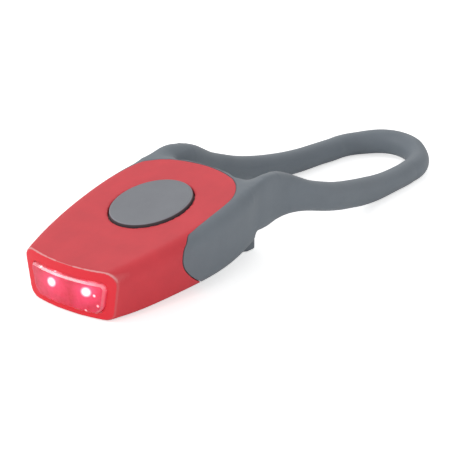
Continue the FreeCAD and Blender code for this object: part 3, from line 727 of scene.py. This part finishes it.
RED_SILICONE = LitSilicone("red_silicone", (0.78, 0.060, 0.078), sheen=0.03)
GREY_SILICONE = Silicone("grey_silicone", (0.200, 0.230, 0.262), roughness=0.5)
BUTTON_SILICONE = ShadedWallSilicone("button_silicone", (0.232, 0.243, 0.270), roughness=0.5)
SEAL_RUBBER = Silicone("black_seal", (0.02, 0.02, 0.022), roughness=0.6)
CAPSULE_PLASTIC = MouldedPlastic("capsule_plastic", (0.72, 0.72, 0.69))
SWITCH_PLASTIC = MouldedPlastic("switch_plastic", (0.035, 0.035, 0.04))
CHIP_PLASTIC = MouldedPlastic("chip_black", (0.018, 0.018, 0.02), roughness=0.5, grain_scale=6000.0)
CERAMIC = MouldedPlastic("capacitor_tan", (0.42, 0.26, 0.13), roughness=0.4, grain_scale=5000.0)
BOARD_GREEN = SolderMask("board_green", (0.015, 0.13, 0.055))
BRIGHT_COATING = PlatedMetal("bright_reflector", (0.93, 0.93, 0.93), roughness=0.1)
TINNED = PlatedMetal("tinned_wire", (0.75, 0.75, 0.73), roughness=0.28)
STEEL = PlatedMetal("steel", (0.66, 0.66, 0.67), roughness=0.3)
CELL_STEEL = PlatedMetal("cell_steel", (0.74, 0.74, 0.72), roughness=0.24)
SPRING_METAL = PlatedMetal("spring_brass", (0.78, 0.58, 0.26), roughness=0.26)


@dataclass
class Workshop:
    """Makes objects from bmeshes and gives them materials."""

    weld: float = 0.0005 * MM
    made: dict[str, bpy.types.Material] = field(default_factory=dict)

    def material(self, finish: Finish) -> bpy.types.Material:
        """Material of a finish, built once.

        Args:
            finish: The finish.

        Returns:
            Its material.
        """
        if finish.name not in self.made:
            self.made[finish.name] = finish.make()
        return self.made[finish.name]

    def dress(self, piece: bpy.types.Object, finish: Finish) -> None:
        """Give a piece or CAD node one finish."""
        piece.data.materials.clear()
        piece.data.materials.append(self.material(finish))

    def from_bmesh(self, shape: bmesh.types.BMesh, name: str, sharp: float = 40.0) -> bpy.types.Object:
        """Turn a bmesh into a smooth-shaded object at the origin.

        Args:
            shape: The mesh, freed by this call.
            name: The object's name.
            sharp: Angle in degrees from which an edge stays crisp.

        Returns:
            The new object.
        """
        mesh = bpy.data.meshes.new(name)
        shape.to_mesh(mesh)
        shape.free()
        return self.from_mesh(mesh, name, sharp)

    def from_mesh(self, mesh: bpy.types.Mesh, name: str, sharp: float = 40.0) -> bpy.types.Object:
        """Link a mesh as a smooth-shaded object at the origin.

        Args:
            mesh: The mesh.
            name: The object's name.
            sharp: Angle in degrees from which an edge stays crisp.

        Returns:
            The new object.
        """
        mesh.name = name
        mesh.shade_smooth()
        mesh.set_sharp_from_angle(angle=math.radians(sharp))
        piece = bpy.data.objects.new(name, mesh)
        bpy.context.scene.collection.objects.link(piece)
        return piece

    def copy_nodes(self, names: Sequence[str]) -> bmesh.types.BMesh:
        """Merged copy of CAD nodes.

        Args:
            names: The nodes' names.

        Returns:
            One bmesh that holds them all.
        """
        shape = bmesh.new()
        for name in names:
            shape.from_mesh(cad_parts[name].data)
        bmesh.ops.remove_doubles(shape, verts=shape.verts, dist=self.weld)
        return shape

    def applied(self, piece: bpy.types.Object) -> bpy.types.Mesh:
        """Mesh of a piece with its modifiers, after which the piece is removed.

        Args:
            piece: The piece.

        Returns:
            The evaluated mesh.
        """
        graph = bpy.context.evaluated_depsgraph_get()
        mesh = bpy.data.meshes.new_from_object(piece.evaluated_get(graph))
        bpy.data.objects.remove(piece)
        return mesh

    def trimmed(self, piece: bpy.types.Object, tool: bpy.types.Object, how: Trim,
                name: str) -> bpy.types.Object:
        """New piece that is one piece trimmed by another.

        Args:
            piece: The solid that is trimmed; it is kept.
            tool: The solid that trims it; it is kept.
            how: Whether the part inside the tool stays or goes.
            name: The new piece's name.

        Returns:
            The new piece.
        """
        work = bpy.data.objects.new(name, piece.data.copy())
        bpy.context.scene.collection.objects.link(work)
        modifier = work.modifiers.new("trim", "BOOLEAN")
        modifier.operation = how.value
        modifier.solver = "MANIFOLD"
        modifier.object = tool
        return self.from_mesh(self.applied(work), name)


SHOP = Workshop()


@dataclass
class PartingLine:
    """Line on the body where the red sleeve meets the grey saddle, in the base frame."""

    rear_tip: Span = (39.0, 0.0)
    right_top: tuple[Span, ...] = (
        (38.8, 2.4), (38.4, 4.7), (37.65, 7.1), (36.9, 8.35), (35.8, 9.65), (34.3, 10.85), (32.7, 11.7),
        (30.9, 12.25), (28.0, 12.6), (25.0, 12.8), (23.0, 13.0), (21.0, 13.2), (19.2, 13.55), (17.5, 14.1),
    )
    left_top: tuple[Span, ...] = (
        (38.8, 2.4), (38.4, 4.9), (38.0, 6.7), (37.4, 8.1), (36.6, 9.5), (35.6, 10.6), (34.5, 11.7),
        (33.2, 12.5), (31.6, 13.15), (29.7, 13.7),
    )
    left_brow: tuple[Point, ...] = (
        (27.6, 14.15, 11.75), (25.2, 14.45, 11.2), (21.5, 14.6, 10.6), (18.0, 14.55, 10.15),
    )
    side_edge: tuple[Point, ...] = (
        (16.0, 14.45, 10.1), (15.1, 14.4, 9.3), (14.7, 14.3, 8.2), (14.75, 14.0, 6.6), (15.4, 13.8, 5.0),
        (16.6, 13.6, 3.4), (18.2, 13.3, 1.9), (19.8, 12.9, 0.8), (21.0, 11.4, 0.1), (21.5, 8.0, 0.0),
        (21.6, 4.0, 0.0),
    )
    sole_middle: Point = (21.6, 0.0, 0.0)
    axis_height: float = 5.5
    inner_share: float = 0.2
    outer_share: float = 1.7
    front_x: float = -14.0
    steps: int = 10

    def half(self, left: bool) -> list[Vector]:
        """Points of one side, from behind the tip of the red top to under the body.

        Args:
            left: Whether it is the light's left side.

        Returns:
            The points, in millimetres.
        """
        top = [(x, y, PLACES.roof_height(x)) for x, y in (self.left_top if left else self.right_top)]
        brow = list(self.left_brow) if left else []
        side = 1 if left else -1
        return [Vector((x, side * y, z)) for x, y, z in (*top, *brow, *self.side_edge)]

    def loop(self) -> list[Vector]:
        """Closed smooth line round the body, a Catmull-Rom curve through its points.

        Returns:
            Dense points, in millimetres.
        """
        tip = Vector((*self.rear_tip, PLACES.roof_height(self.rear_tip[0])))
        knots = [tip, *self.half(True), Vector(self.sole_middle), *reversed(self.half(False))]
        count = len(knots)
        line = []
        for i in range(count):
            a, b, c, d = (knots[(i + k - 1) % count] for k in range(4))
            for step in range(self.steps):
                t = step / self.steps
                line.append(0.5 * (2 * b + (c - a) * t + (2 * a - 5 * b + 4 * c - d) * t * t
                                   + (3 * b - a - 3 * c + d) * t ** 3))
        return line

    def place_ring(self, ring: Iterable[bmesh.types.BMVert], order: bmesh.types.BMLayerItem,
                   spots: Sequence[Vector], share: float) -> None:
        """Put one ring of vertices at a share of the way from the body's axis to the line.

        Args:
            ring: The vertices.
            order: Layer that holds each vertex's place in the ring.
            spots: Points of the line, in millimetres.
            share: The share, more than 1 to stand outside the body.
        """
        base = PLACES.base()
        for vertex in ring:
            spot = spots[vertex[order]]
            z = self.axis_height + (spot.z - self.axis_height) * share
            vertex.co = (base @ Vector((spot.x, spot.y * share, z))) * MM

    def region(self, name: str, reach: float) -> bpy.types.Object:
        """Closed ring-shaped solid that holds the red part of the skin.

        Args:
            name: The solid's name.
            reach: How far past the line it goes, in millimetres.

        Returns:
            The solid, a tool that is removed after use.
        """
        line = self.loop()
        front = [Vector((self.front_x, spot.y, spot.z)) for spot in line]
        rear = [Vector((spot.x + reach, spot.y, spot.z)) for spot in line]
        shape = bmesh.new()
        order = shape.verts.layers.int.new("order")
        ring = bmesh.ops.create_circle(shape, cap_ends=False, radius=1.0, segments=len(line))["verts"]
        for index, vertex in enumerate(ring):
            vertex[order] = index
        self.place_ring(ring, order, front, self.inner_share)
        first = edges = list(shape.edges)
        for share, spots in ((self.outer_share, front), (self.outer_share, rear), (self.inner_share, rear)):
            grown = bmesh.ops.extrude_edge_only(shape, edges=edges)["geom"]
            new = {part for part in grown if isinstance(part, bmesh.types.BMVert)}
            self.place_ring(new, order, spots, share)
            edges = [edge for edge in shape.edges if edge.verts[0] in new and edge.verts[1] in new]
        bmesh.ops.bridge_loops(shape, edges=first + edges)
        bmesh.ops.recalc_face_normals(shape, faces=shape.faces)
        return SHOP.from_bmesh(shape, name)


@dataclass(frozen=True)
class Zone:
    """Part of the silicone that is smoothed, the same on both sides."""

    times: int
    start: float = -math.inf
    end: float = math.inf
    inner: float = 0.0
    outer: float = math.inf
    floor: float = -math.inf

    def pick(self, vertices: Iterable[bmesh.types.BMVert]) -> list[bmesh.types.BMVert]:
        """Vertices that lie inside the zone.

        Args:
            vertices: Where to look.

        Returns:
            The vertices inside it.
        """
        start, end = PLACES.floor_x(self.start), PLACES.floor_x(self.end)
        inner, outer, floor = self.inner * MM, self.outer * MM, self.floor * MM
        return [v for v in vertices
                if start < v.co.x < end and v.co.z > floor and inner <= abs(v.co.y) < outer]


@dataclass(frozen=True)
class Stretch:
    """One piece of the grey silicone, the nodes it stands for and its body, which carries it only when it
    has no bend.
    """

    name: str
    nodes: tuple[str, ...]
    body: Body
    start: float
    bend: Span | None = None


@dataclass
class Skin:
    """Silicone of the light: red sleeve, grey saddle and the stretch strap."""

    voxel: float = 0.25 * MM
    softness: float = 0.5
    zones: tuple[Zone, ...] = (
        Zone(3),  # all of it
        Zone(8, start=33.0, floor=6.0),  # rear
        Zone(8, start=33.0, floor=8.5),  # rear's upper part, on top of that
        Zone(24, start=36.4, end=45.0, outer=12.0, floor=9.5),  # web
        Zone(50, start=34.5, end=43.5, inner=9.5, outer=17.0, floor=7.0),  # roots of the arms
        Zone(50, start=35.5, end=39.3, inner=8.2, outer=12.6, floor=11.0),  # ledges beside the web
    )
    line_gap: float = 0.28
    arm_middle: float = 11.1
    arm_half: float = 2.15
    roll: float = 0.8
    roll_heights: Span = (8.0, 13.0)
    outer_roll: Marks = (32.0, 36.5, 41.0, 47.0)
    inner_roll: Marks = (36.5, 38.5, 41.0, 45.0)
    web_side: Span = (5.5, 8.5)
    side_fade: Span = (0.0, 6.0)
    left_sag: float = 0.4
    sag_span: Marks = (46.0, 54.0, 64.0, 84.0)
    loop_lift: float = 0.9
    lift_span: Span = (93.0, 99.5)
    lift_side: Span = (-10.0, -4.0)
    root_drop: float = 0.5
    drop_span: Marks = (36.5, 41.0, 42.0, 54.0)
    drop_heights: Marks = (0.0, 1.5, 8.0, 12.0)
    right_swell: float = 0.16
    swell_span: Marks = (52.0, 64.0, 67.0, 82.0)
    arm_line: tuple[Span, ...] = ((53.5, 8.6), (60.5, 6.2), (66.0, 4.75), (73.0, 3.25))
    stretches: tuple[Stretch, ...] = (
        Stretch("saddle_skin", ("strap_saddle",), Body.LIGHT, -60.0),
        Stretch("strap_upper_skin", ("strap_root_bend", "strap_upper_arms"), Body.STRAP_UPPER,
                53.5, (53.5, 60.5)),
        Stretch("strap_lower_skin", ("strap_middle_bend", "strap_lower_arms"), Body.STRAP_LOWER,
                63.25, (66.0, 73.0)),
        Stretch("strap_tip_skin", ("strap_end_bend", "strap_loop"), Body.STRAP_TIP,
                75.75, (78.5, 85.5)),
    )
    far_end: float = 130.0
    slab_width: float = 80.0
    slab_middle: float = 10.0

    def casting(self) -> bpy.types.Object:
        """All the silicone as one closed form with softened corners.

        Returns:
            The form, which the pieces are cut from.
        """
        nodes = ["cover", *(node for stretch in self.stretches for node in stretch.nodes)]
        block = SHOP.from_bmesh(SHOP.copy_nodes(nodes), "silicone_form")
        remesh = block.modifiers.new("cast", "REMESH")
        remesh.mode = "VOXEL"
        remesh.voxel_size = self.voxel
        shape = bmesh.new()
        shape.from_mesh(SHOP.applied(block))
        for vertex in shape.verts:
            x, y, z = vertex.co.x / MM - PLACES.opening_x, vertex.co.y / MM, vertex.co.z / MM
            vertex.co.z += (self.shoulder_roll(x, y, z) + self.unevenness(x, y, z)) * MM
        for region, times in [(zone.pick(shape.verts), zone.times) for zone in self.zones]:
            for _ in range(times):
                bmesh.ops.smooth_vert(shape, verts=region, factor=self.softness,
                                      use_axis_x=True, use_axis_y=True, use_axis_z=True)
        return SHOP.from_bmesh(shape, "silicone_form", sharp=80.0)

    def shoulder_roll(self, x: float, y: float, z: float) -> float:
        """Rise of a point because the arms' roots turn towards the web.

        Args:
            x: Place along the light, in millimetres.
            y: Place across it.
            z: Height.

        Returns:
            The rise, in millimetres.
        """
        out = (abs(y) - self.arm_middle) / self.arm_half
        if out > 0:
            rise = min(1.0, out) * hump(x, self.outer_roll)
        else:
            rise = max(-1.0, out) * hump(x, self.inner_roll) * ease(abs(y), *self.web_side)
        return self.roll * rise * ease(z, *self.roll_heights)

    def unevenness(self, x: float, y: float, z: float) -> float:
        """Rise of a point because the soft strap sags, swells and lifts a little.

        Args:
            x: Place along the light, in millimetres.
            y: Place across it.
            z: Height.

        Returns:
            The rise, in millimetres.
        """
        left, right = ease(y, *self.side_fade), ease(-y, *self.side_fade)
        lift = self.loop_lift * ease(x, *self.lift_span) * ease(y, *self.lift_side)
        sag = self.left_sag * hump(x, self.sag_span) * left
        drop = self.root_drop * hump(x, self.drop_span) * hump(z, self.drop_heights) * right
        swell = self.right_swell * hump(x, self.swell_span) * right
        return lift - sag - drop + swell * (z - self.arm_height(x))

    def arm_height(self, x: float) -> float:
        """Height of the middle of each arm at x.

        Args:
            x: Place along the light, in millimetres.

        Returns:
            The height, in millimetres.
        """
        for (start, low), (end, high) in zip(self.arm_line, self.arm_line[1:]):
            if x < end:
                break
        share = min(1.0, max(0.0, (x - start) / (end - start)))
        return low + (high - low) * share

    def slab(self, start: float, end: float) -> bpy.types.Object:
        """Upright slab between two places along the light, used as a tool.

        Args:
            start: Its near end, in millimetres.
            end: Its far end.

        Returns:
            The slab.
        """
        shape = bmesh.new()
        bmesh.ops.create_cube(shape, size=1.0)
        size = Vector((end - start, self.slab_width, self.slab_width)) * MM
        bmesh.ops.scale(shape, vec=size, verts=shape.verts)
        middle = (PLACES.floor_x((start + end) / 2), 0, self.slab_middle * MM)
        bmesh.ops.translate(shape, vec=middle, verts=shape.verts)
        return SHOP.from_bmesh(shape, "slab")

    def build(self) -> None:
        """Cut the form into its pieces and dress them; the cover and the saddle ride on the light's body,
        and the strap's pieces keep their place baked into their meshes.
        """
        form = self.casting()
        red_tool = PartingLine().region("red_region", -self.line_gap / 2)
        grey_tool = PartingLine().region("grey_region", self.line_gap / 2)
        cover = SHOP.trimmed(form, red_tool, Trim.KEEP_INSIDE, "cover_skin")
        grey = SHOP.trimmed(form, grey_tool, Trim.CUT_AWAY, "grey_form")
        SHOP.dress(cover, RED_SILICONE)
        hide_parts("cover")
        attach(cover, Body.LIGHT.value)
        LOG.info("cover_skin: %d faces", len(cover.data.polygons))
        ends = [stretch.start for stretch in self.stretches[1:]] + [self.far_end]
        for index, stretch in enumerate(self.stretches):
            slab = self.slab(stretch.start, ends[index])
            piece = SHOP.trimmed(grey, slab, Trim.KEEP_INSIDE, stretch.name)
            bpy.data.objects.remove(slab)
            SHOP.dress(piece, GREY_SILICONE)
            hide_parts(*stretch.nodes)
            if stretch.bend is None:
                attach(piece, stretch.body.value)
            else:
                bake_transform(piece)
            LOG.info("%s: %d faces", stretch.name, len(piece.data.polygons))
        for tool in (form, grey, red_tool, grey_tool):
            bpy.data.objects.remove(tool)


@dataclass
class PressButton:
    """Oval silicone button with a rounded rim, and the post under it, in the roof's frame."""

    x: float = 22.8
    half_length: float = 8.9
    half_width: float = 7.1
    proud: float = 0.48
    depth: float = 0.5
    taper: float = 0.12
    rim: float = 0.3
    rim_segments: int = 5
    dish: float = 0.15
    dish_rings: tuple[float, ...] = (0.9, 1.2, 1.3, 1.0)
    fine: float = 0.01
    segments: int = 96
    post_radius: float = 1.6
    post_low: float = -1.85
    post_segments: int = 32
    overlap: float = 0.05

    def add_pad(self, shape: bmesh.types.BMesh) -> None:
        """Model the oval pad, with its rounded rim and slightly hollow top.

        Args:
            shape: The mesh to add it to, in millimetres.
        """
        bmesh.ops.create_circle(shape, cap_ends=True, radius=1.0, segments=self.segments)
        bmesh.ops.scale(shape, vec=(self.half_length, self.half_width, 1.0), verts=shape.verts)
        bmesh.ops.translate(shape, vec=(0, 0, -self.depth), verts=shape.verts)
        raised = bmesh.ops.extrude_face_region(shape, geom=list(shape.faces))["geom"]
        top = [part for part in raised if isinstance(part, bmesh.types.BMVert)]
        bmesh.ops.translate(shape, vec=(0, 0, self.depth + self.proud), verts=top)
        slimmer = (1 - self.taper / self.half_length, 1 - self.taper / self.half_width, 1.0)
        bmesh.ops.scale(shape, vec=slimmer, verts=top)
        high = self.proud - self.fine
        rim_edges = [edge for edge in shape.edges if all(v.co.z > high for v in edge.verts)]
        bmesh.ops.bevel(shape, geom=rim_edges, offset=self.rim, offset_type="OFFSET",
                        segments=self.rim_segments, profile=0.5, affect="EDGES", material=-1)
        lid = max(shape.faces, key=lambda f: f.calc_area() if f.calc_center_median().z > 0 else 0.0)
        for width in self.dish_rings:
            bmesh.ops.inset_region(shape, faces=[lid], thickness=width, use_even_offset=True)
        for vertex in shape.verts:
            if vertex.co.z > high:
                out = (vertex.co.x / self.half_length) ** 2 + (vertex.co.y / self.half_width) ** 2
                vertex.co.z -= self.dish * (1 - min(1.0, out))

    def add_post(self, shape: bmesh.types.BMesh) -> None:
        """Model the round post that presses the switch.

        Args:
            shape: The mesh to add it to, in millimetres.
        """
        length = self.overlap - self.depth - self.post_low
        shaft = bmesh.ops.create_cone(shape, cap_ends=True, segments=self.post_segments, depth=length,
                                      radius1=self.post_radius, radius2=self.post_radius)["verts"]
        bmesh.ops.translate(shape, vec=(0, 0, self.post_low + length / 2), verts=shaft)

    def build(self) -> None:
        """Model the button, dress it and let it ride."""
        shape = bmesh.new()
        self.add_pad(shape)
        self.add_post(shape)
        bmesh.ops.recalc_face_normals(shape, faces=shape.faces)
        place = Matrix.Scale(MM, 4) @ PLACES.roof() @ Matrix.Translation((self.x, 0, 0))
        bmesh.ops.transform(shape, matrix=place, verts=shape.verts)
        pad = SHOP.from_bmesh(shape, "button_pad", sharp=35.0)
        SHOP.dress(pad, BUTTON_SILICONE)
        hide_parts("button")
        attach(pad, Body.BUTTON.value)
        LOG.info("button_pad: %d faces", len(pad.data.polygons))


@dataclass
class LightUnit:
    """Lens, reflector and LEDs at the front; the glints' places are in the base frame."""

    glints: tuple[Point, ...] = ((-2.2, 3.04, 5.35), (-2.0, -5.1, 5.5))

    def build(self) -> None:
        """Dress the CAD nodes of the front."""
        for side in ("left", "right"):
            low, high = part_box("led_" + side)
            SHOP.dress(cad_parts["led_" + side], LedEpoxy("led_epoxy_" + side, low.x, high.x))
        spots = tuple(tuple(PLACES.to_world(*glint)) for glint in self.glints)
        SHOP.dress(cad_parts["lens"], LensPlastic("red_lens", spots))
        SHOP.dress(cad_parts["lens_seal"], SEAL_RUBBER)
        SHOP.dress(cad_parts["reflector"], BRIGHT_COATING)
        LOG.info("front: lens, seal, reflector and two LEDs dressed")


@dataclass
class Electronics:
    """Capsule, board, switch and coin cell inside the body."""

    finishes: tuple[tuple[Finish, tuple[str, ...]], ...] = (
        (CAPSULE_PLASTIC, ("capsule_lower", "capsule_upper")),
        (BOARD_GREEN, ("circuit_board",)),
        (STEEL, ("board_screws", "switch_frame", "switch_dome")),
        (TINNED, ("led_leads",)),
        (SWITCH_PLASTIC, ("switch_base", "switch_plunger")),
        (CHIP_PLASTIC, ("controller_chip", "resistors")),
        (CERAMIC, ("capacitor",)),
        (CELL_STEEL, ("coin_cell_can", "coin_cell_cap")),
        (SEAL_RUBBER, ("coin_cell_gasket",)),
        (SPRING_METAL, ("battery_negative_contact", "battery_positive_clip")),
    )

    def build(self) -> None:
        """Dress each node."""
        for finish, names in self.finishes:
            for name in names:
                SHOP.dress(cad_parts[name], finish)
                LOG.info("%s: %s", name, finish.name)


@dataclass(frozen=True)
class Lamp:
    """Soft square lamp: where it hangs and its side, in metres, and its power in watts."""

    name: str
    place: Point
    side: float
    power: float


@dataclass
class Studio:
    """White ground, soft lamps and the camera."""

    lamps: tuple[Lamp, ...] = (
        Lamp("key", (-0.40, 0.47, 0.50), 0.35, 1.6),
        Lamp("side", (-0.55, -0.75, 0.30), 0.7, 1.1),
        Lamp("back", (0.50, 0.55, 0.60), 0.6, 0.8),
    )
    lamp_target: Point = (0.0, 0.0, 0.008)
    world_strength: float = 0.55
    ground_reach: float = 3.0
    target: Point = (33.115, -8.407, 7.871)
    azimuth: float = -50.21
    elevation: float = 22.63
    distance: float = 0.8
    focal_px: float = 4304.0
    frame_px: float = 452.0
    sensor: float = 36.0
    nearest: float = 0.01

    def aim(self, piece: bpy.types.Object, place: Vector, target: Vector) -> None:
        """Put an object somewhere and point its -Z at a target."""
        piece.location = place
        piece.rotation_euler = (target - place).to_track_quat("-Z", "Y").to_euler()

    def hang(self, lamp: Lamp) -> None:
        """Hang a lamp that points at the light.

        Args:
            lamp: The lamp.
        """
        data = bpy.data.lights.new(lamp.name, "AREA")
        data.size = lamp.side
        data.energy = lamp.power
        piece = bpy.data.objects.new(lamp.name, data)
        bpy.context.scene.collection.objects.link(piece)
        self.aim(piece, Vector(lamp.place), Vector(self.lamp_target))

    def ground(self) -> None:
        """Large flat floor."""
        shape = bmesh.new()
        bmesh.ops.create_grid(shape, x_segments=8, y_segments=8, size=self.ground_reach)
        floor = SHOP.from_bmesh(shape, "ground")
        SHOP.dress(floor, PalePaper())

    def world(self) -> None:
        """Even white surroundings, plain white to the camera."""
        world = bpy.data.worlds.new("surroundings")
        bpy.context.scene.world = world
        world.use_nodes = True
        nodes, links = world.node_tree.nodes, world.node_tree.links
        back = nodes["Background"]
        back.inputs["Color"].default_value = (1, 1, 1, 1)
        path = nodes.new("ShaderNodeLightPath")
        level = nodes.new("ShaderNodeMapRange")
        level.inputs["To Min"].default_value = self.world_strength
        level.inputs["To Max"].default_value = 1.0
        links.new(path.outputs["Is Camera Ray"], level.inputs["Value"])
        links.new(level.outputs["Result"], back.inputs["Strength"])

    def camera(self) -> None:
        """Camera at the viewing angle, with its lens."""
        azimuth, elevation = math.radians(self.azimuth), math.radians(self.elevation)
        back = Vector((math.sin(azimuth) * math.cos(elevation),
                       -math.cos(azimuth) * math.cos(elevation), math.sin(elevation)))
        x, y, z = self.target
        target = Vector((x + PLACES.opening_x, y, z + PLACES.lift)) * MM
        data = bpy.data.cameras.new("camera")
        data.sensor_width = self.sensor
        data.lens = self.focal_px / self.frame_px * self.sensor
        data.clip_start = self.nearest
        camera = bpy.data.objects.new("camera", data)
        bpy.context.scene.collection.objects.link(camera)
        self.aim(camera, target + back * self.distance, target)
        bpy.context.scene.camera = camera

    def build(self) -> None:
        """Set the stage."""
        self.ground()
        self.world()
        for lamp in self.lamps:
            self.hang(lamp)
        self.camera()
        bpy.context.scene.view_settings.view_transform = "Standard"
        LOG.info("studio set")


def main() -> None:
    """Build every piece in order."""
    logging.basicConfig(level=logging.INFO, format="%(name)s %(message)s")
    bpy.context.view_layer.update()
    builders: list[Callable[[], None]] = [
        Skin().build, PressButton().build, LightUnit().build, Electronics().build, Studio().build,
    ]
    for build in builders:
        build()


if __name__ == "__main__":
    main()
